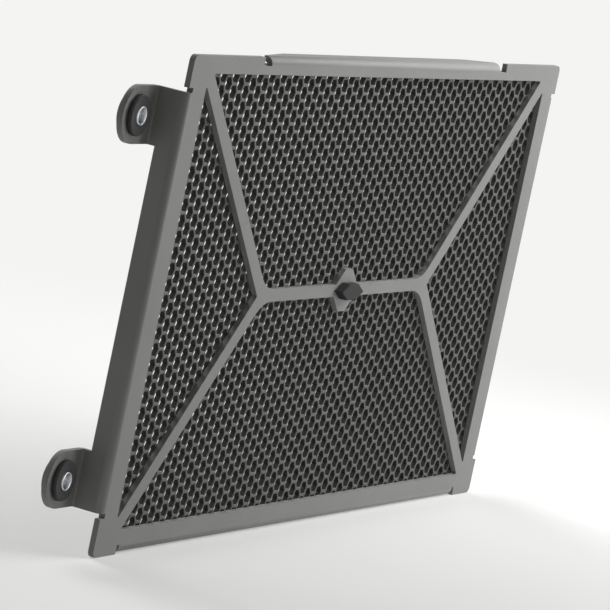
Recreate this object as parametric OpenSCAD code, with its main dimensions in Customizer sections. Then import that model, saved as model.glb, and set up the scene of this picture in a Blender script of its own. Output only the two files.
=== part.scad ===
// Motorcycle radiator guard: a folded sheet-metal frame with a perforated sheet welded behind it.
// X runs to the right as seen from the front, the front faces -Y, and Z is up.
// The origin is the middle of the four fixing points, in the plane where their sleeves end.

/* [Opening] */
// Width of the opening that the perforated sheet fills
opening_w = 364; // [320:1:420]
// Height of the opening
opening_h = 190; // [160:1:230]
// Distance from the middle to each node where two ribs meet the bar
node_x = 86; // [60:1:110]
// Width of the level bar between the nodes
bar_w = 5.4; // [4:0.1:9]
// Width of the four slanted ribs
rib_w = 7; // [5:0.1:10]

/* [Frame sheet] */
// Thickness of the frame's sheet
sheet_t = 2.5; // [1.5:0.1:3.5]
// Inside radius of every bend
bend_r = 0.8; // [0.5:0.1:3]
// Width of the strip above the opening
top_strip = 7.5; // [7.2:0.1:14]
// Width of the strip below the opening
bottom_strip = 10.2; // [8:0.1:16]
// Width of the strips at both sides of the opening
side_strip = 15.6; // [12:0.1:22]
// Radius of the frame's four outer corners
corner_r = 3; // [1:0.5:6]
// Radius in the acute corners of the openings
cell_r = 0.6; // [0.3:0.1:3]
// Radius of the webs where ribs and bar meet
web_r = 19; // [6:0.5:26]

/* [Flanges] */
// Depth from the frame's front face to the back of the ears
tray_depth = 16; // [13:0.5:24]
// Depth of the top and bottom flanges, measured from the front face
flange_depth = 9; // [8:0.5:14]
// Distance from the frame's side to each end of the top flange
top_flange_inset = 73.6; // [60:0.1:110]
// Length of the slope at each end of the top flange
top_slope_l = 28; // [20:1:60]
// Distance from the frame's side to each end of the bottom flange
bottom_flange_inset = 22.6; // [16:0.1:70]
// Length of the slope at each end of the bottom flange
bottom_slope_l = 14; // [8:1:30]
// Depth of the side flanges between the ears, measured from the front face
side_flange_depth = 10; // [8:0.5:13]
// Width of the relief notch at each end of the top flange
top_relief_w = 7.5; // [3:0.1:10]
// Width of the relief slit at each end of the bottom flange
bottom_relief_w = 2; // [1:0.1:8]
// Width of the relief slit at each end of a side flange
side_relief_w = 2; // [1:0.1:4]

/* [Ears] */
// Distance from the frame's side out to the fixing points
ear_reach = 14.4; // [12:0.1:40]
// Distance from the opening's top and bottom edges to the fixing points
ear_inset_z = 20; // [16:0.5:60]
// Radius of an ear's round end
ear_r = 12; // [11:0.5:15]
// Diameter of the hole that holds the grommet
ear_hole_d = 12; // [10:0.5:14]

/* [Grommets and sleeves] */
// Outer diameter of a grommet
grommet_d = 17; // [16:0.5:20]
// Thickness of each of a grommet's two lips
grommet_lip = 2.2; // [1.5:0.1:3]
// Outer diameter of a sleeve
sleeve_d = 8; // [7:0.5:9]
// Bore of a sleeve, for an M6 bolt
sleeve_bore_d = 6.4; // [5.4:0.1:6.6]
// Length of a sleeve
sleeve_l = 8; // [7.6:0.1:12]

/* [Perforated sheet] */
// Thickness of the perforated sheet
mesh_t = 2.5; // [0.8:0.1:3]
// Distance between the centres of two holes; the real sheet's is 6.7
mesh_pitch = 13.4; // [12:0.1:20]
// Width of the web left between two holes
mesh_web = 2; // [1:0.1:3]
// How far the sheet lies behind the strips at the sides
mesh_lap_x = 7; // [5:0.5:8]
// How far the sheet lies behind the strips at the top and bottom
mesh_lap_z = 3.4; // [2.5:0.1:3.8]
// Width of the unpierced edge of the sheet
mesh_edge = 2; // [1:0.1:2.5]

/* [Centre boss] */
// Height of the six-sided boss in the middle of the bar
boss_h = 19; // [14:0.1:24]
// Width of the boss at the bar
boss_w = 28; // [24:0.5:44]
// Width of the boss at its top and bottom
boss_tip_w = 7.5; // [5:0.5:18]
// Height of the six-sided dark plate on the boss
plate_h = 7.4; // [5:0.1:9]
// Width of the dark plate at its middle
plate_w = 24; // [16:0.5:24]
// Width of the dark plate at its top and bottom
plate_flat_w = 10; // [5:0.5:15]
// Width of the plate's front face, which its sloping sides leave
plate_front_w = 23; // [10:0.5:24]
// Thickness of the dark plate
plate_t = 4; // [2:0.1:6]

/* [Hidden] */
$fn = 48;
// Angle between two points of a rounded corner
arc_step = 12;
// How far a cut runs past what it cuts
over = 1;

half_w = opening_w / 2;
half_h = opening_h / 2;
frame_half_w = half_w + side_strip;
frame_top = half_h + top_strip;
frame_bottom = -half_h - bottom_strip;
bend_outer = bend_r + sheet_t;
ear_back_y = -(sleeve_l - sheet_t) / 2;
front_y = ear_back_y - tray_depth;
sheet_back_y = front_y + sheet_t;
relief_depth = bend_outer + over / 2;
top_flange_half_l = frame_half_w - top_flange_inset;
bottom_flange_half_l = frame_half_w - bottom_flange_inset;
ear_x = frame_half_w + ear_reach;
ear_z = half_h - ear_inset_z;
side_flange_half_l = ear_z + ear_r;

rib_angle = atan2(half_h, half_w - node_x);
rib_reach = rib_w / 2 / sin(rib_angle);
mesh_half_w = half_w + mesh_lap_x;
mesh_half_h = half_h + mesh_lap_z;

frame_colour = [0.42, 0.42, 0.43];
mesh_colour = [0.26, 0.26, 0.27];
rubber_colour = [0.08, 0.08, 0.08];
steel_colour = [0.72, 0.73, 0.74];
plate_colour = [0.06, 0.06, 0.07];

// Flat shapes drawn in X and Z, given a thickness that runs forward from back_y
module upright(back_y, thickness) {
    translate([0, back_y, 0])
        rotate([90, 0, 0])
            linear_extrude(thickness) children();
}

// Direction from one point to another, of length 1
function towards(from, to) = (to - from) / norm(to - from);

// Half of the angle between the two edges that meet at b
function half_angle(a, b, c) = acos(towards(b, a) * towards(b, c)) / 2;

// A point turned about the origin
function turned(p, angle) = [p.x * cos(angle) - p.y * sin(angle), p.x * sin(angle) + p.y * cos(angle)];

// Points of the arc of radius r that rounds the corner b of an outline listed anticlockwise
function corner_arc(a, b, c, r) =
    let (half = half_angle(a, b, c),
         centre = b + towards([0, 0], towards(b, a) + towards(b, c)) * r / sin(half),
         start = b + towards(b, a) * r / tan(half) - centre,
         sweep = 180 - 2 * half,
         steps = ceil(sweep / arc_step))
    [for (k = [0:steps]) centre + turned(start, sweep * k / steps)];

// A polygon with rounded corners: its points run anticlockwise, with one radius for each
module soft_polygon(points, radii) {
    count = len(points);
    polygon([for (i = [0:count - 1])
        each corner_arc(points[(i + count - 1) % count], points[i], points[(i + 1) % count], radii[i])]);
}

// The opening above the bar, with a rib on each side
module upper_cell() {
    rib_foot = node_x - rib_reach + bar_w / 2 / tan(rib_angle);
    rib_head = node_x - rib_reach + half_h / tan(rib_angle);
    soft_polygon([[-rib_head, half_h], [-rib_foot, bar_w / 2], [rib_foot, bar_w / 2], [rib_head, half_h]],
                 [cell_r, web_r, web_r, cell_r]);
}

// The three-cornered opening between two ribs and the right strip
module right_cell() {
    apex = node_x + rib_reach;
    corner_z = (half_w - apex) * tan(rib_angle);
    soft_polygon([[apex, 0], [half_w, -corner_z], [half_w, corner_z]], [cell_r, cell_r, cell_r]);
}

// A six-sided outline, widest at its middle
module six_sided(width, flat_width, height) {
    w = width / 2;
    f = flat_width / 2;
    h = height / 2;
    polygon([[-w, 0], [-f, -h], [f, -h], [w, 0], [f, h], [-f, h]]);
}

// The frame's front face: strips, bar and ribs, cut back where the edges are bent
module front_face() {
    difference() {
        soft_polygon([[-frame_half_w, frame_bottom], [frame_half_w, frame_bottom],
                      [frame_half_w, frame_top], [-frame_half_w, frame_top]],
                     [corner_r, corner_r, corner_r, corner_r]);
        upper_cell();
        mirror([0, 1]) upper_cell();
        right_cell();
        mirror([1, 0]) right_cell();
        edge_cut(top_flange_half_l, top_relief_w, frame_top, -1);
        edge_cut(bottom_flange_half_l, bottom_relief_w, frame_bottom, 1);
        side_cut();
        mirror([1, 0]) side_cut();
    }
    six_sided(boss_w, boss_tip_w, boss_h);
}

// What a level flange takes from the front face: the bend's own strip and a notch at each end
module edge_cut(half_l, relief_w, edge_z, inward) {
    translate([-half_l, edge_z + (inward < 0 ? -bend_outer : 0)]) square([2 * half_l, bend_outer]);
    for (side = [-1, 1])
        translate([side * half_l - (side < 0 ? relief_w : 0), edge_z + (inward < 0 ? -relief_depth : 0)])
            square([relief_w, relief_depth]);
}

// What the right side flange takes from the front face, in the same way
module side_cut() {
    slit_z = side_flange_half_l + side_relief_w / 2;
    translate([frame_half_w - bend_outer, -side_flange_half_l]) square([bend_outer, 2 * side_flange_half_l]);
    for (level = [-1, 1])
        translate([frame_half_w - relief_depth / 2, level * slit_z])
            square([relief_depth, side_relief_w], center = true);
}

// Section of a bent edge: a quarter turn from the front face and a straight leg to the given depth
module bent_section(depth) {
    difference() {
        circle(r = bend_outer);
        circle(r = bend_r);
        translate([-bend_outer, -bend_outer]) square([bend_outer, 2 * bend_outer]);
        square(bend_outer);
    }
    translate([bend_r, 0]) square([sheet_t, depth - bend_outer]);
}

// A level flange, built along X with its outer face at height edge_z
module level_flange(half_l, slope_l, edge_z) {
    flip = edge_z > 0 ? 0 : 1;
    slope_start_y = front_y + bend_outer + over;
    flange_back_y = front_y + flange_depth;
    intersection() {
        mirror([0, 0, flip])
            translate([-half_l, front_y + bend_outer, abs(edge_z) - bend_outer])
                rotate([90, 0, 90])
                    linear_extrude(2 * half_l) mirror([1, -1]) bent_section(flange_depth);
        translate([0, 0, -frame_half_w])
            linear_extrude(2 * frame_half_w)
                polygon([[-half_l, front_y - over], [half_l, front_y - over],
                         [half_l, slope_start_y], [half_l - slope_l, flange_back_y],
                         [slope_l - half_l, flange_back_y], [-half_l, slope_start_y]]);
    }
}

// The right side flange, with its two ears bent outwards at the back
module side_flange() {
    leg_x = frame_half_w - sheet_t;
    translate([frame_half_w - bend_outer, front_y + bend_outer, -side_flange_half_l])
        linear_extrude(2 * side_flange_half_l) bent_section(side_flange_depth);
    for (level = [-1, 1])
        translate([0, 0, level * ear_z - ear_r]) {
            translate([leg_x, front_y + bend_outer, 0])
                cube([sheet_t, tray_depth - 2 * bend_outer, 2 * ear_r]);
            translate([leg_x + bend_outer, ear_back_y - bend_outer, 0])
                linear_extrude(2 * ear_r) ear_bend();
        }
    for (level = [-1, 1]) ear(level * ear_z);
}

// Quarter turn from a side flange into an ear
module ear_bend() {
    difference() {
        circle(r = bend_outer);
        circle(r = bend_r);
        translate([0, -bend_outer]) square([bend_outer, 2 * bend_outer]);
        translate([-bend_outer, -bend_outer]) square([2 * bend_outer, bend_outer]);
    }
}

// A flat ear with a round end and the grommet's hole
module ear(level_z) {
    root_x = frame_half_w - sheet_t + bend_outer;
    upright(ear_back_y, sheet_t)
        difference() {
            union() {
                translate([root_x, level_z - ear_r]) square([ear_x - root_x, 2 * ear_r]);
                translate([ear_x, level_z]) circle(r = ear_r);
            }
            translate([ear_x, level_z]) circle(d = ear_hole_d);
        }
}

module frame() {
    color(frame_colour) {
        upright(sheet_back_y, sheet_t) front_face();
        level_flange(top_flange_half_l, top_slope_l, frame_top);
        level_flange(bottom_flange_half_l, bottom_slope_l, frame_bottom);
        side_flange();
        mirror([1, 0, 0]) side_flange();
    }
}

// Six-sided holes in staggered columns, cut off at the sheet's unpierced edge
module perforation() {
    column_step = mesh_pitch * sqrt(3) / 2;
    columns = ceil(mesh_half_w / column_step);
    rows = ceil(mesh_half_h / mesh_pitch);
    hole_r = (mesh_pitch - mesh_web) / sqrt(3);
    intersection() {
        square([2 * (mesh_half_w - mesh_edge), 2 * (mesh_half_h - mesh_edge)], center = true);
        for (column = [-columns:columns], row = [-rows:rows])
            translate([column * column_step, (row + (column % 2 == 0 ? 0 : 0.5)) * mesh_pitch])
                circle(r = hole_r, $fn = 6);
    }
}

module mesh() {
    color(mesh_colour)
        upright(sheet_back_y + mesh_t, mesh_t)
            difference() {
                square([2 * mesh_half_w, 2 * mesh_half_h], center = true);
                perforation();
            }
}

// A plain dark plate with sloping sides, bonded to the boss
module centre_plate() {
    color(plate_colour)
        translate([0, front_y, 0])
            rotate([90, 0, 0])
                linear_extrude(plate_t, scale = plate_front_w / plate_w)
                    six_sided(plate_w, plate_flat_w, plate_h);
}

// A rubber grommet: two lips with the ear's sheet in the groove between them
module grommet(x, z) {
    length = sheet_t + 2 * grommet_lip;
    translate([x, ear_back_y - sheet_t / 2, z])
        rotate([90, 0, 0])
            color(rubber_colour)
                difference() {
                    union() {
                        cylinder(d = ear_hole_d, h = length, center = true);
                        for (side = [-1, 1])
                            translate([0, 0, side * (sheet_t + grommet_lip) / 2])
                                cylinder(d = grommet_d, h = grommet_lip, center = true);
                    }
                    cylinder(d = sleeve_d, h = length + over, center = true);
                }
}

// A steel sleeve that lets the bolt be tightened without crushing the grommet
module sleeve(x, z) {
    translate([x, -sleeve_l / 2, z])
        rotate([90, 0, 0])
            color(steel_colour)
                difference() {
                    cylinder(d = sleeve_d, h = sleeve_l, center = true);
                    cylinder(d = sleeve_bore_d, h = sleeve_l + over, center = true);
                }
}

frame();
mesh();
centre_plate();
grommet(-ear_x, ear_z);  // grommet_upper_left
grommet(ear_x, ear_z);  // grommet_upper_right
grommet(-ear_x, -ear_z);  // grommet_lower_left
grommet(ear_x, -ear_z);  // grommet_lower_right
sleeve(-ear_x, ear_z);  // sleeve_upper_left
sleeve(ear_x, ear_z);  // sleeve_upper_right
sleeve(-ear_x, -ear_z);  // sleeve_lower_left
sleeve(ear_x, -ear_z);  // sleeve_lower_right
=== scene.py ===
# %% [markdown]
# # A radiator guard in satin powder coat
# The guard is a flat frame of folded sheet metal with a fine hexagon-hole sheet behind it.
# The exact pieces come ready made, so this file adds what a drawing leaves out: softened edges,
# the true fine perforation, the finishes, the light and the camera. Blender works in metres here,
# and a size in millimetres is written as a number times MM.

# %% Load the exact pieces
import math
import bmesh
import bpy
from mathutils import Matrix, Vector


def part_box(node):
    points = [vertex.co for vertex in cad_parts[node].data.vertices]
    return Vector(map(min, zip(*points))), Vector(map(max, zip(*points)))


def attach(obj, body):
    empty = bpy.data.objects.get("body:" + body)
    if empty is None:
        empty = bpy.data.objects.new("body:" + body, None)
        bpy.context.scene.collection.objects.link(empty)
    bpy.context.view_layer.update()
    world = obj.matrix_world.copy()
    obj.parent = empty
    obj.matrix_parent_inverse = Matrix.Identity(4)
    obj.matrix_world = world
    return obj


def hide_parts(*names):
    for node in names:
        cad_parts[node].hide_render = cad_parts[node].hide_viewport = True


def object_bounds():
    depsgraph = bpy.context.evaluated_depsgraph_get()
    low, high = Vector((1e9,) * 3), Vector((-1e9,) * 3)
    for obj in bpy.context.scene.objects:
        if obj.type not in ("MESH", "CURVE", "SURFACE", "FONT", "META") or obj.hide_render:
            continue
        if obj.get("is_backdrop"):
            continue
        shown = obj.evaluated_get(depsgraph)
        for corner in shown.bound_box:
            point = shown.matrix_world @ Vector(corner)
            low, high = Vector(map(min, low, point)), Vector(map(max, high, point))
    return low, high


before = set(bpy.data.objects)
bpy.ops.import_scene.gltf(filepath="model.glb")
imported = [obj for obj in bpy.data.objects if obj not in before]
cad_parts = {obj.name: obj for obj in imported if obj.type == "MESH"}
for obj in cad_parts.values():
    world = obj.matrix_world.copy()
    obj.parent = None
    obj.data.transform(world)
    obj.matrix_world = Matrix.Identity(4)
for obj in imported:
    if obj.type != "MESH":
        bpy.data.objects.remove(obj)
cad_low, cad_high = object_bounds()
MM = 0.001
print("pieces:", sorted(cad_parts))
print("size in mm:", [round((high - low) / MM, 1) for low, high in zip(cad_low, cad_high)])

# %% [markdown]
# ## The camera's place
# The guard is seen from its left, well round the side and hardly from above, from about two
# metres, and it leans in the picture. We could place the camera by eye, but working it out from the
# two angles, the lean and the distance keeps the perspective true.

# %% Find the eye
VIEW_AZIMUTH = math.radians(-65.87)
VIEW_ELEVATION = math.radians(7.34)
VIEW_LEAN = math.radians(11.83)
VIEW_DISTANCE = 2137 * MM
VIEW_ASIDE = 41 * MM

toward = Vector((math.sin(VIEW_AZIMUTH) * math.cos(VIEW_ELEVATION),
                 -math.cos(VIEW_AZIMUTH) * math.cos(VIEW_ELEVATION),
                 math.sin(VIEW_ELEVATION)))
level = Vector((math.cos(VIEW_AZIMUTH), math.sin(VIEW_AZIMUTH), 0))
lean = Matrix.Rotation(VIEW_LEAN, 3, toward)
right = lean @ level
front_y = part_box("frame")[0].y
eye = Vector((0, front_y, 0)) + toward * VIEW_DISTANCE - right * VIEW_ASIDE
print("eye in mm:", [round(value / MM) for value in eye])

# %% [markdown]
# ## The camera's aim and lens
# From so far away a long lens lets the guard fill the picture. We could turn and zoom until it
# fits, but the guard's box tells both. The middle of the box isn't the middle of its outline in
# the picture, because the near end looks larger, so the aim starts at the middle of the box and is
# corrected a few times. The focal length then follows from the outline's width and height.

# %% Aim the camera and choose the lens
AIM_ROUNDS = 3
FILL = 0.93
SENSOR_WIDTH_MM = 36
NEAR_CLIP = 50 * MM


def camera_axes(target):
    """The camera's own right, up and back, when it looks from the eye at a target."""
    back = (eye - target).normalized()
    side = (right - back * right.dot(back)).normalized()
    return side, back.cross(side), back


def outline_on_film(side, up, back):
    """How far the guard's corners reach to each side on a film one unit away."""
    corners = [Vector((x, y, z)) - eye for x in (cad_low.x, cad_high.x)
               for y in (cad_low.y, cad_high.y) for z in (cad_low.z, cad_high.z)]
    across = [corner.dot(side) / -corner.dot(back) for corner in corners]
    upward = [corner.dot(up) / -corner.dot(back) for corner in corners]
    return min(across), max(across), min(upward), max(upward)


target = (cad_low + cad_high) / 2
for aim_round in range(AIM_ROUNDS):
    side, up, back = camera_axes(target)
    leftmost, rightmost, bottom, top = outline_on_film(side, up, back)
    off_centre = side * (leftmost + rightmost) / 2 + up * (bottom + top) / 2
    target += off_centre * (eye - target).length
side, up, back = camera_axes(target)
leftmost, rightmost, bottom, top = outline_on_film(side, up, back)

lens = bpy.data.cameras.new("long_lens")
lens.sensor_width = SENSOR_WIDTH_MM
lens.lens = FILL * lens.sensor_width / max(rightmost - leftmost, top - bottom)
lens.clip_start = NEAR_CLIP
camera = bpy.data.objects.new("camera", lens)
camera.matrix_world = Matrix.Translation(eye) @ Matrix((side, up, back)).transposed().to_4x4()
bpy.context.scene.collection.objects.link(camera)
bpy.context.scene.camera = camera
print("focal length in mm:", round(lens.lens))

# %% [markdown]
# ## Helpers for the finishes
# Each finish is a small tree of nodes. We could draw the trees by hand in the shader editor, but a
# script can be read and run again. One function adds a node with its settings and its links, and
# one turns a colour as a screen shows it into the linear colour that Blender computes with.

# %% Node and colour helpers
def linear(hex_colour):
    """A screen colour such as '#6b6b6c' as linear red, green, blue and alpha, by the sRGB formula."""
    channels = [int(hex_colour[start:start + 2], 16) / 255 for start in (1, 3, 5)]
    return [channel / 12.92 if channel <= 0.04045 else ((channel + 0.055) / 1.055) ** 2.4
            for channel in channels] + [1]


def add(tree, kind, values=None, links=None, **settings):
    """Adds a node, sets its properties and socket values, and links sockets from other nodes."""
    node = tree.nodes.new(kind)
    for name, setting in settings.items():
        setattr(node, name, setting)
    for socket, value in (values or {}).items():
        node.inputs[socket].default_value = value
    for socket, source in (links or {}).items():
        tree.links.new(source, node.inputs[socket])
    return node


def new_material(name):
    """An empty material and its node tree, with only the output left in it."""
    material = bpy.data.materials.new(name)
    material.use_nodes = True
    tree = material.node_tree
    for node in list(tree.nodes):
        if node.type != "OUTPUT_MATERIAL":
            tree.nodes.remove(node)
    return material, tree


def show_on_surface(tree, shader):
    """Links a shader to the output that new_material leaves."""
    tree.links.new(shader, tree.nodes["Material Output"].inputs["Surface"])


def per_metre(size_mm):
    """The scale for a pattern whose marks are about size_mm across."""
    return 1 / (size_mm * MM)


print("a middle grey of 50 % on the screen is", round(linear("#808080")[0], 2), "in linear light")

# %% [markdown]
# ## Satin powder coat
# The frame is painted with powder that is melted on in an oven. That gives a satin skin with a
# faint orange peel, about two millimetres from one swell to the next, a sheen that changes from
# one millimetre to the next, and a slightly uneven tone, in clouds of a few centimetres, where
# the powder lies thicker. Paint is not a metal to the eye: it has a coloured body under a clear
# surface, so metallic stays at 0 and the IOR is that of polyester resin, about 1.5.
# The greys are a touch warm: a little less blue than red and green. The sheet's greys are darker than
# the frame's, as painted shade for the recessed, finely pierced sheet.
# A picture wrapped round the frame could carry all this, but noise in the object's own coordinates
# needs no unwrapping and keeps one scale on every face.
# The walls of the perforation get a nearly black tone: painted shade inside the small holes.
# The shader finds them by their direction: a wall's normal has no part along the sheet's thickness.

# %% Powder coat
CLOUD_MM = 35
SHEEN_GRAIN_MM = 1.1
PEEL_SWELL_MM = 2.2
PEEL_DEPTH_MM = 0.05
SMOOTHER_BY = 0.05
ROUGHER_BY = 0.06
POLYESTER_IOR = 1.5


def powder_coat(name, dark_tone, light_tone, roughness, painted_wall_shade=None):
    """Satin powder coat between two tones, with orange peel, and painted shade on the hole walls."""
    material, tree = new_material(name)
    spot = add(tree, "ShaderNodeTexCoord")
    place = spot.outputs["Object"]
    cloud = add(tree, "ShaderNodeTexNoise", {"Scale": per_metre(CLOUD_MM), "Detail": 3},
                {"Vector": place})
    tone = add(tree, "ShaderNodeMix", {"A": linear(dark_tone), "B": linear(light_tone)},
               {"Factor": cloud.outputs["Fac"]}, data_type="RGBA")
    # Painted shade: faces whose normal lies across the sheet, the hole walls, get a nearly black tone.
    if painted_wall_shade:
        facing = add(tree, "ShaderNodeSeparateXYZ", links={"Vector": spot.outputs["Normal"]})
        flat = add(tree, "ShaderNodeMath", links={0: facing.outputs["Y"]}, operation="ABSOLUTE")
        tone = add(tree, "ShaderNodeMix", {"A": linear(painted_wall_shade)},
                   {"Factor": flat.outputs["Value"], "B": tone.outputs["Result"]}, data_type="RGBA")
    grain = add(tree, "ShaderNodeTexNoise", {"Scale": per_metre(SHEEN_GRAIN_MM), "Detail": 2},
                {"Vector": place})
    sheen = add(tree, "ShaderNodeMapRange",
                {"To Min": roughness - SMOOTHER_BY, "To Max": roughness + ROUGHER_BY},
                {"Value": grain.outputs["Fac"]})
    peel = add(tree, "ShaderNodeTexNoise", {"Scale": per_metre(PEEL_SWELL_MM), "Detail": 1},
               {"Vector": place})
    bump = add(tree, "ShaderNodeBump", {"Strength": 0.5, "Distance": PEEL_DEPTH_MM * MM},
               {"Height": peel.outputs["Fac"]})
    skin = add(tree, "ShaderNodeBsdfPrincipled", {"IOR": POLYESTER_IOR, "Metallic": 0},
               {"Base Color": tone.outputs["Result"], "Roughness": sheen.outputs["Result"],
                "Normal": bump.outputs["Normal"]})
    show_on_surface(tree, skin.outputs["BSDF"])
    return material


frame_paint = powder_coat("satin_powder_coat_on_frame",
                          dark_tone="#747472", light_tone="#7f7f7d", roughness=0.6)
# The sheet's two greys are the frame's paint made darker, as painted shade; its wall tone is painted
# shade too.
sheet_paint = powder_coat("satin_powder_coat_on_perforated_sheet",
                          dark_tone="#464644", light_tone="#51514f", roughness=0.62,
                          painted_wall_shade="#0e0e0d")
print("made", frame_paint.name, "and", sheet_paint.name)

# %% [markdown]
# ## Moulded rubber and ABS
# The grommets are moulded nitrile rubber, nearly black and matt. The plate on the boss is moulded
# ABS, darker than the paint round it and duller than the rubber. We could write a material for
# each, but both only take the grain of their moulds, and differ in tone, roughness, IOR and the
# size of that grain, so one function makes both. A mould's grain is a tenth of a millimetre or two
# across, too fine to show, so it is drawn 0.8 mm across on the rubber and 0.5 mm on the ABS.

# %% Rubber and ABS
TONE_SWING = 0.15
ROUGHNESS_SWING = 0.06
GRAIN_DEPTH_MM = 0.03


def moulded(name, tone, roughness, grain_mm, ior):
    """A moulded rubber or plastic with a fine grain."""
    material, tree = new_material(name)
    place = add(tree, "ShaderNodeTexCoord").outputs["Object"]
    grain = add(tree, "ShaderNodeTexNoise", {"Scale": per_metre(grain_mm), "Detail": 3},
                {"Vector": place})
    value = add(tree, "ShaderNodeMapRange", {"To Min": 1 - TONE_SWING, "To Max": 1 + TONE_SWING},
                {"Value": grain.outputs["Fac"]})
    shade = add(tree, "ShaderNodeHueSaturation", {"Color": linear(tone)},
                {"Value": value.outputs["Result"]})
    matt = add(tree, "ShaderNodeMapRange",
               {"To Min": roughness - ROUGHNESS_SWING, "To Max": roughness + ROUGHNESS_SWING},
               {"Value": grain.outputs["Fac"]})
    bump = add(tree, "ShaderNodeBump", {"Strength": 0.5, "Distance": GRAIN_DEPTH_MM * MM},
               {"Height": grain.outputs["Fac"]})
    skin = add(tree, "ShaderNodeBsdfPrincipled", {"IOR": ior},
               {"Base Color": shade.outputs["Color"], "Roughness": matt.outputs["Result"],
                "Normal": bump.outputs["Normal"]})
    show_on_surface(tree, skin.outputs["BSDF"])
    return material


rubber = moulded("moulded_nitrile_rubber", tone="#1d1d1e", roughness=0.72, grain_mm=0.8, ior=1.52)
black_abs = moulded("matt_moulded_black_abs", tone="#101011", roughness=0.86, grain_mm=0.5, ior=1.53)
print("made", rubber.name, "and", black_abs.name)

# %% [markdown]
# ## Bright zinc
# The sleeves are turned steel with bright zinc. That is a metal to the eye, so metallic is 1 and
# the IOR keeps its default. The lathe leaves faint rings round a sleeve. We could cut them as
# grooves, but they are only hundredths of a millimetre deep, so a bump is enough. Real rings are
# about 0.2 mm apart, too fine to show, so they are drawn a millimetre apart. The polish changes in
# patches of a few millimetres, as the zinc bath leaves it.

# %% Zinc on turned steel
RING_PITCH_MM = 1.0
RING_DEPTH_MM = 0.02
PATCH_MM = 3
# Blender's wave texture runs through 20 radians in each unit of length at scale 1.
RINGS_AT_SCALE_1 = 20 / math.tau


def zinc_plate(name):
    """Bright zinc on turned steel, with the tool's faint rings along the sleeve."""
    material, tree = new_material(name)
    place = add(tree, "ShaderNodeTexCoord").outputs["Object"]
    rings = add(tree, "ShaderNodeTexWave",
                {"Scale": per_metre(RING_PITCH_MM) / RINGS_AT_SCALE_1, "Distortion": 0.6, "Detail": 1},
                {"Vector": place}, wave_type="BANDS", bands_direction="Y")
    patch = add(tree, "ShaderNodeTexNoise", {"Scale": per_metre(PATCH_MM), "Detail": 2},
                {"Vector": place})
    tone = add(tree, "ShaderNodeMix", {"A": linear("#b9bcc0"), "B": linear("#d4d6d8")},
               {"Factor": patch.outputs["Fac"]}, data_type="RGBA")
    polish = add(tree, "ShaderNodeMapRange", {"To Min": 0.22, "To Max": 0.38},
                 {"Value": patch.outputs["Fac"]})
    bump = add(tree, "ShaderNodeBump", {"Strength": 0.3, "Distance": RING_DEPTH_MM * MM},
               {"Height": rings.outputs["Fac"]})
    skin = add(tree, "ShaderNodeBsdfPrincipled", {"Metallic": 1},
               {"Base Color": tone.outputs["Result"], "Roughness": polish.outputs["Result"],
                "Normal": bump.outputs["Normal"]})
    show_on_surface(tree, skin.outputs["BSDF"])
    return material


zinc = zinc_plate("bright_zinc_on_steel")
print("made", zinc.name)

# %% [markdown]
# ## The frame with softened edges
# A laser cuts the sheet square, but tumbling and the coat of powder round every edge to about
# half a millimetre, and that is where a painted frame catches the light. We could model a softer
# frame by hand, but a copy of the exact one can't differ from it. We join the triangles of each
# flat face and bevel only the edges that turn sharply. The arcs of the bends turn by a few degrees
# at each step, so they stay as they are and are only shaded smooth.

# %% Softened copies of the exact pieces
SAME_POINT = 0.002 * MM
SAME_PLANE = math.radians(0.5)
SHARP_TURN = math.radians(28)
PAINTED_EDGE = 0.45 * MM


def softened_copy(node, name, radius, segments):
    """A copy of an exact piece with its sharp edges rounded, standing for that piece."""
    copy = bpy.data.objects.new(name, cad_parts[node].data.copy())
    copy.data.materials.clear()
    bpy.context.scene.collection.objects.link(copy)
    work = bmesh.new()
    work.from_mesh(copy.data)
    bmesh.ops.remove_doubles(work, verts=work.verts, dist=SAME_POINT)
    bmesh.ops.dissolve_limit(work, angle_limit=SAME_PLANE, verts=work.verts, edges=work.edges)
    work.to_mesh(copy.data)
    work.free()
    round_edges = copy.modifiers.new("round edges", "BEVEL")
    round_edges.width = radius
    round_edges.segments = segments
    round_edges.limit_method = "ANGLE"
    round_edges.angle_limit = SHARP_TURN
    round_edges.use_clamp_overlap = True
    round_edges.harden_normals = True
    bpy.context.view_layer.objects.active = copy
    copy.select_set(True)
    bpy.ops.object.modifier_apply(modifier=round_edges.name)
    bpy.ops.object.shade_auto_smooth(angle=SHARP_TURN)
    copy.select_set(False)
    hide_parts(node)
    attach(copy, "root")
    print(name, "has", len(copy.data.polygons), "faces")
    return copy


folded_frame = softened_copy("frame", "folded_frame", PAINTED_EDGE, segments=3)
folded_frame.data.materials.append(frame_paint)

# %% [markdown]
# ## The perforated sheet
# The real sheet has six-sided holes 6.7 mm apart with narrow webs of 1.4 mm, about 1,850 in all.
# A texture with transparency would be light, but it has no thickness, and from the side it is the
# walls of the holes that show. So every hole is cut as geometry: each one is a ring of six faces
# on the front, six on the back, six for its wall, and two narrow rings where the coat rounds the
# edge. All five lie between six rings of corners, which run from the front to the back.

# %% One hole
HOLE_SPACING = 6.7 * MM
WEB = 1.4 * MM
HOLE_BEVEL = 0.2 * MM

sheet_low, sheet_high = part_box("mesh")
sheet_front, sheet_back = sheet_low.y, sheet_high.y


def hexagon(centre_x, centre_z, across_flats, y):
    """Six corners of a hexagon with level top and bottom sides."""
    reach = across_flats / math.sqrt(3)
    angles = [math.radians(60 * corner) for corner in range(6)]
    return [Vector((centre_x + reach * math.cos(angle), y, centre_z + reach * math.sin(angle)))
            for angle in angles]


def hole_rings(x, z):
    """The rings of corners that one hole needs, from the front of the web to the back."""
    hole = HOLE_SPACING - WEB
    return [hexagon(x, z, HOLE_SPACING, sheet_front),
            hexagon(x, z, hole + 2 * HOLE_BEVEL, sheet_front),
            hexagon(x, z, hole, sheet_front + HOLE_BEVEL),
            hexagon(x, z, hole, sheet_back - HOLE_BEVEL),
            hexagon(x, z, hole + 2 * HOLE_BEVEL, sheet_back),
            hexagon(x, z, HOLE_SPACING, sheet_back)]


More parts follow.
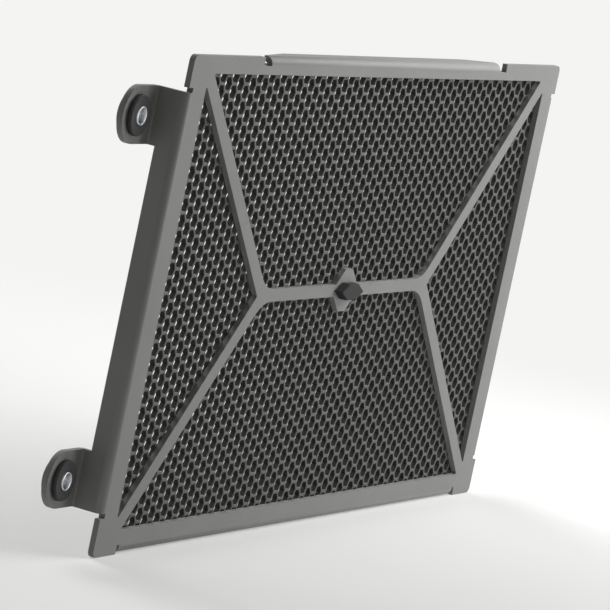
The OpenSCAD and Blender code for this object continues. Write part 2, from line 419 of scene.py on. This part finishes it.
def join_rings(work, rings):
    """Faces from each ring of corners to the next."""
    for outer, inner in zip(rings, rings[1:]):
        for corner in range(len(outer)):
            work.faces.new((outer[corner], outer[corner - 1], inner[corner - 1], inner[corner]))


print("sheet in mm:", [round((high - low) / MM, 1) for low, high in zip(sheet_low, sheet_high)])
print("holes across flats in mm:", round((HOLE_SPACING - WEB) / MM, 1))

# %% [markdown]
# ## The field of holes
# Columns of holes stand side by side, and every other column is half a spacing higher. Neighbours
# share their outer corners, so joining corners that coincide makes one closed pattern of webs.
# We could leave out the holes at the border, but a real sheet is cut from a larger one right
# through its holes. So the pattern is drawn a little too large, cut by four planes, and the cut
# ends of the webs are closed.

# %% The pierced field
SAME_CORNER = 0.01 * MM


def cut_off(work, point, outward):
    """Cuts away what lies beyond a plane, and closes the ends of the webs there."""
    everything = work.verts[:] + work.edges[:] + work.faces[:]
    cut = bmesh.ops.bisect_plane(work, geom=everything, plane_co=point, plane_no=outward,
                                 clear_outer=True)
    cut_edges = [part for part in cut["geom_cut"] if isinstance(part, bmesh.types.BMEdge)]
    bmesh.ops.edgenet_fill(work, edges=cut_edges)


def perforated_field(low, high):
    """The pierced part of the sheet, cut to the rectangle between low and high."""
    work = bmesh.new()
    column_step = HOLE_SPACING * math.sqrt(3) / 2
    columns = math.ceil(high.x / column_step)
    rows = math.ceil(high.z / HOLE_SPACING)
    for column in range(-columns, columns + 1):
        for row in range(-rows - 1, rows + 1):
            z = (row + (0.5 if column % 2 else 0)) * HOLE_SPACING
            rings = [[work.verts.new(corner) for corner in ring]
                     for ring in hole_rings(column * column_step, z)]
            join_rings(work, rings)
    bmesh.ops.remove_doubles(work, verts=work.verts, dist=SAME_CORNER)
    for point, outward in ((low, (-1, 0, 0)), (low, (0, 0, -1)), (high, (1, 0, 0)), (high, (0, 0, 1))):
        cut_off(work, point, outward)
    print("the pierced field has", len(work.faces), "faces")
    return work


# %% [markdown]
# ## The rim
# The outermost 2 mm of the sheet lie behind the frame's strips and are left solid, as a seat for
# the welds. The cut ends of the webs could be joined to the rim face by face, but that would look
# the same, so they only touch it.

# %% The rim and the whole sheet
RIM = 2 * MM


def rim_corners(work, inset, y):
    """Four corners of a rectangle, set in from the sheet's edge."""
    left, right_side = sheet_low.x + inset, sheet_high.x - inset
    bottom, top = sheet_low.z + inset, sheet_high.z - inset
    return [work.verts.new((x, y, z))
            for x, z in ((right_side, top), (left, top), (left, bottom), (right_side, bottom))]


def add_rim(work):
    """The unpierced rim round the field, as four faces on each of its four sides."""
    rings = [rim_corners(work, 0, sheet_front), rim_corners(work, RIM, sheet_front),
             rim_corners(work, RIM, sheet_back), rim_corners(work, 0, sheet_back)]
    join_rings(work, rings + rings[:1])


def perforated_sheet():
    """The whole sheet as one mesh, in the place of the coarse one."""
    rim = Vector((RIM, 0, RIM))
    work = perforated_field(sheet_low + rim, sheet_high - rim)
    add_rim(work)
    bmesh.ops.recalc_face_normals(work, faces=work.faces)
    mesh = bpy.data.meshes.new("perforated_sheet")
    work.to_mesh(mesh)
    work.free()
    sheet = bpy.data.objects.new("perforated_sheet", mesh)
    bpy.context.scene.collection.objects.link(sheet)
    mesh.materials.append(sheet_paint)
    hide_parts("mesh")
    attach(sheet, "root")
    print("perforated sheet has", len(mesh.polygons), "faces")


perforated_sheet()

# %% [markdown]
# ## Tack welds
# Short beads of weld hold the sheet's edge to the back of the frame, under the same powder coat.
# A bead is a drop of metal that froze as it ran along the edge. We could sculpt each one, but a
# sphere drawn out along the edge, with the ripples that the welder's hand leaves, reads the same,
# and a little change in length from bead to bead keeps them from looking stamped. The change goes
# by the golden angle, 2.4 radians, whose multiples never fall into a rhythm.

# %% Tack welds
BEAD_SPACING = 42 * MM
BEAD_LENGTH = 7 * MM
BEAD_WIDTH = 2.4 * MM
# With its middle a sixth of its width behind the frame, a bead is sunk in it by a third.
BEAD_STANDS_OFF = BEAD_WIDTH / 6
RIPPLE_SPACING = 0.9 * MM
RIPPLE_SWING = 0.08
LENGTH_SWING = 0.15
GOLDEN_ANGLE = 2.4


def bead_places():
    """The middle of each bead on the sheet's edge, and the axis along which the bead runs."""
    seat_y = sheet_front + BEAD_STANDS_OFF
    across = math.floor((sheet_high.x - BEAD_LENGTH) / BEAD_SPACING)
    upward = math.floor((sheet_high.z - BEAD_LENGTH) / BEAD_SPACING)
    level_ones = [(Vector((step * BEAD_SPACING, seat_y, z)), "X")
                  for z in (sheet_low.z, sheet_high.z) for step in range(-across, across + 1)]
    upright_ones = [(Vector((x, seat_y, step * BEAD_SPACING)), "Z")
                    for x in (sheet_low.x, sheet_high.x) for step in range(-upward, upward + 1)]
    return level_ones + upright_ones


def tack_welds():
    """All the beads as one mesh."""
    work = bmesh.new()
    places = bead_places()
    for number, (place, axis) in enumerate(places):
        stretch = 1 + LENGTH_SWING * math.sin(GOLDEN_ANGLE * number)
        half = Vector((BEAD_LENGTH * stretch, BEAD_WIDTH, BEAD_WIDTH)) / 2
        turn = Matrix() if axis == "X" else Matrix.Rotation(math.radians(-90), 4, "Y")
        ball = bmesh.ops.create_icosphere(work, subdivisions=3, radius=1)["verts"]
        for corner in ball:
            along = corner.co.x * half.x
            swell = 1 + RIPPLE_SWING * math.sin(math.tau * along / RIPPLE_SPACING)
            shape = Vector((along, corner.co.y * half.y * swell, corner.co.z * half.z * swell))
            corner.co = place + (turn @ shape)
    mesh = bpy.data.meshes.new("tack_welds")
    work.to_mesh(mesh)
    work.free()
    mesh.shade_smooth()
    beads = bpy.data.objects.new("tack_welds", mesh)
    bpy.context.scene.collection.objects.link(beads)
    mesh.materials.append(frame_paint)
    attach(beads, "root")
    print("weld beads:", len(places), "with", len(mesh.polygons), "faces")


tack_welds()

# %% [markdown]
# ## The small pieces
# A plain plate sits on the boss, and rubber grommets with steel sleeves sit in the four ears. They
# could be turned and moulded anew here, but the exact ones have the right shape already. They are
# copied with softened edges as the frame is, because a moulded lip and a turned end are never
# knife sharp: the rubber is the softest and the steel the sharpest.

# %% Plate, grommets and sleeves
PLATE_EDGE = 0.5 * MM
RUBBER_EDGE = 0.6 * MM
TURNED_EDGE = 0.25 * MM

plate = softened_copy("centre_plate", "plain_plate", PLATE_EDGE, segments=4)
plate.data.materials.append(black_abs)

for corner in ("upper_left", "upper_right", "lower_left", "lower_right"):
    grommet = softened_copy("grommet_" + corner, "rubber_grommet_" + corner, RUBBER_EDGE, segments=4)
    grommet.data.materials.append(rubber)
    sleeve = softened_copy("sleeve_" + corner, "steel_sleeve_" + corner, TURNED_EDGE, segments=2)
    sleeve.data.materials.append(zinc)

# %% [markdown]
# ## The floor
# The guard stands in a plain studio. Stronger lamps could turn its pale floor white, but they would
# flood the guard with light. So the floor glows by itself, and only for the camera, for reflections
# and through glass. Near the guard the glow is weaker, because the guard's shadow has to stay.

# %% Floor
FLOOR_TONE = "#efefee"
STUDIO_WHITE = "#f4f4f3"
FLOOR_SIDE = 12000 * MM
FLOOR_GAP = 0.2 * MM
FADE_START = 260 * MM
FADE_END = 800 * MM
GLOW_NEAR_GUARD = 0.4


def seen_directly(tree):
    """A factor that is 1 for camera, glossy and transmission rays and 0 for light that bounces."""
    path = add(tree, "ShaderNodeLightPath")
    either = add(tree, "ShaderNodeMath", operation="MAXIMUM",
                 links={0: path.outputs["Is Camera Ray"], 1: path.outputs["Is Glossy Ray"]})
    any_of_them = add(tree, "ShaderNodeMath", operation="MAXIMUM",
                      links={0: either.outputs["Value"], 1: path.outputs["Is Transmission Ray"]})
    return any_of_them.outputs["Value"]


def floor_material():
    """A pale floor that keeps the shadow near the guard and fades to the background's white."""
    material, tree = new_material("pale_studio_floor")
    place = add(tree, "ShaderNodeTexCoord").outputs["Object"]
    distance = add(tree, "ShaderNodeVectorMath", links={0: place}, operation="LENGTH")
    fade = add(tree, "ShaderNodeMapRange",
               {"From Min": FADE_START, "From Max": FADE_END, "To Min": GLOW_NEAR_GUARD},
               {"Value": distance.outputs["Value"]}, interpolation_type="SMOOTHSTEP")
    amount = add(tree, "ShaderNodeMath", operation="MULTIPLY",
                 links={0: fade.outputs["Result"], 1: seen_directly(tree)})
    matt = add(tree, "ShaderNodeBsdfDiffuse", {"Color": linear(FLOOR_TONE)})
    glow = add(tree, "ShaderNodeEmission", {"Color": linear(STUDIO_WHITE), "Strength": 1})
    blend = add(tree, "ShaderNodeMixShader", links={0: amount.outputs["Value"], 1: matt.outputs["BSDF"],
                                                    2: glow.outputs["Emission"]})
    show_on_surface(tree, blend.outputs["Shader"])
    return material


reach = FLOOR_SIDE / 2
floor_corners = [(-reach, -reach, 0), (reach, -reach, 0), (reach, reach, 0), (-reach, reach, 0)]
floor_mesh = bpy.data.meshes.new("floor")
floor_mesh.from_pydata(floor_corners, [], [(0, 1, 2, 3)])
floor = bpy.data.objects.new("floor", floor_mesh)
floor.location.z = cad_low.z - FLOOR_GAP
bpy.context.scene.collection.objects.link(floor)
floor_mesh.materials.append(floor_material())
floor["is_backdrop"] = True
print("floor at height in mm:", round(floor.location.z / MM, 1))

# %% [markdown]
# ## The background
# A wall or a bent sheet of paper could stand behind the guard, but a world of one colour has no
# edge in any view. It is white in the same way as the floor, to the camera and in reflections, and
# to everything else it gives only a weak even light, which keeps the shadows from going black.
# The view transform is Standard, because it shows each colour as it is written.

# %% Background
FILL_LIGHT = 0.07

world = bpy.data.worlds.new("studio")
bpy.context.scene.world = world
world.use_nodes = True
tree = world.node_tree
tree.nodes.clear()
seen = add(tree, "ShaderNodeBackground", {"Color": linear(STUDIO_WHITE), "Strength": 1})
fill = add(tree, "ShaderNodeBackground", {"Color": linear("#ffffff"), "Strength": FILL_LIGHT})
choice = add(tree, "ShaderNodeMixShader", links={0: seen_directly(tree), 1: fill.outputs["Background"],
                                                 2: seen.outputs["Background"]})
add(tree, "ShaderNodeOutputWorld", links={"Surface": choice.outputs["Shader"]})
bpy.context.scene.view_settings.view_transform = "Standard"
print("background", STUDIO_WHITE, "with a fill light of", FILL_LIGHT)

# %% [markdown]
# ## The lamps
# One bare lamp would draw hard shadows, and an even light from all sides would draw none. Soft
# square lamps lie between the two. The key light stands to the guard's right, so the ribs' left
# walls stay dark and each rib shades the sheet beside it. A high lamp lights what faces up, a low
# one in front lights the frame's front face, and one behind lights the back.
# Places and sizes are in metres and the power is in watts.

# %% Lamps
def softbox(name, position, size, watts):
    """A square area lamp that faces the guard and isn't itself in the picture."""
    light = bpy.data.lights.new(name, "AREA")
    light.size = size
    light.energy = watts
    lamp = bpy.data.objects.new(name, light)
    lamp.location = position
    lamp.rotation_mode = "QUATERNION"
    lamp.rotation_quaternion = Vector(position).to_track_quat("Z", "Y")
    lamp.visible_camera = False
    bpy.context.scene.collection.objects.link(lamp)
    print("lamp", name, "stands", round(lamp.location.length, 2), "m from the guard's middle")


softbox("key_from_the_right", position=(0.6, -0.35, 0.45), size=0.5, watts=6.3)
softbox("high_right", position=(0.7, -0.1, 1.5), size=1.0, watts=2.5)
softbox("low_front", position=(0.5, -1.1, 0.06), size=0.3, watts=3.4)
softbox("behind", position=(0.6, 1.6, 1.0), size=1.2, watts=32)

# %% [markdown]
# ## The two boxes
# Both boxes are printed: the one of the exact pieces and the one of the dressed guard. The
# dressed guard must stay inside the box of the exact pieces.

# %% Print both boxes
final_low, final_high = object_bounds()
boxes = {"cad": [list(cad_low), list(cad_high)], "visual": [list(final_low), list(final_high)]}
for name, (low, high) in boxes.items():
    print(name, "box in mm:", [round(value / MM, 2) for value in low + high])
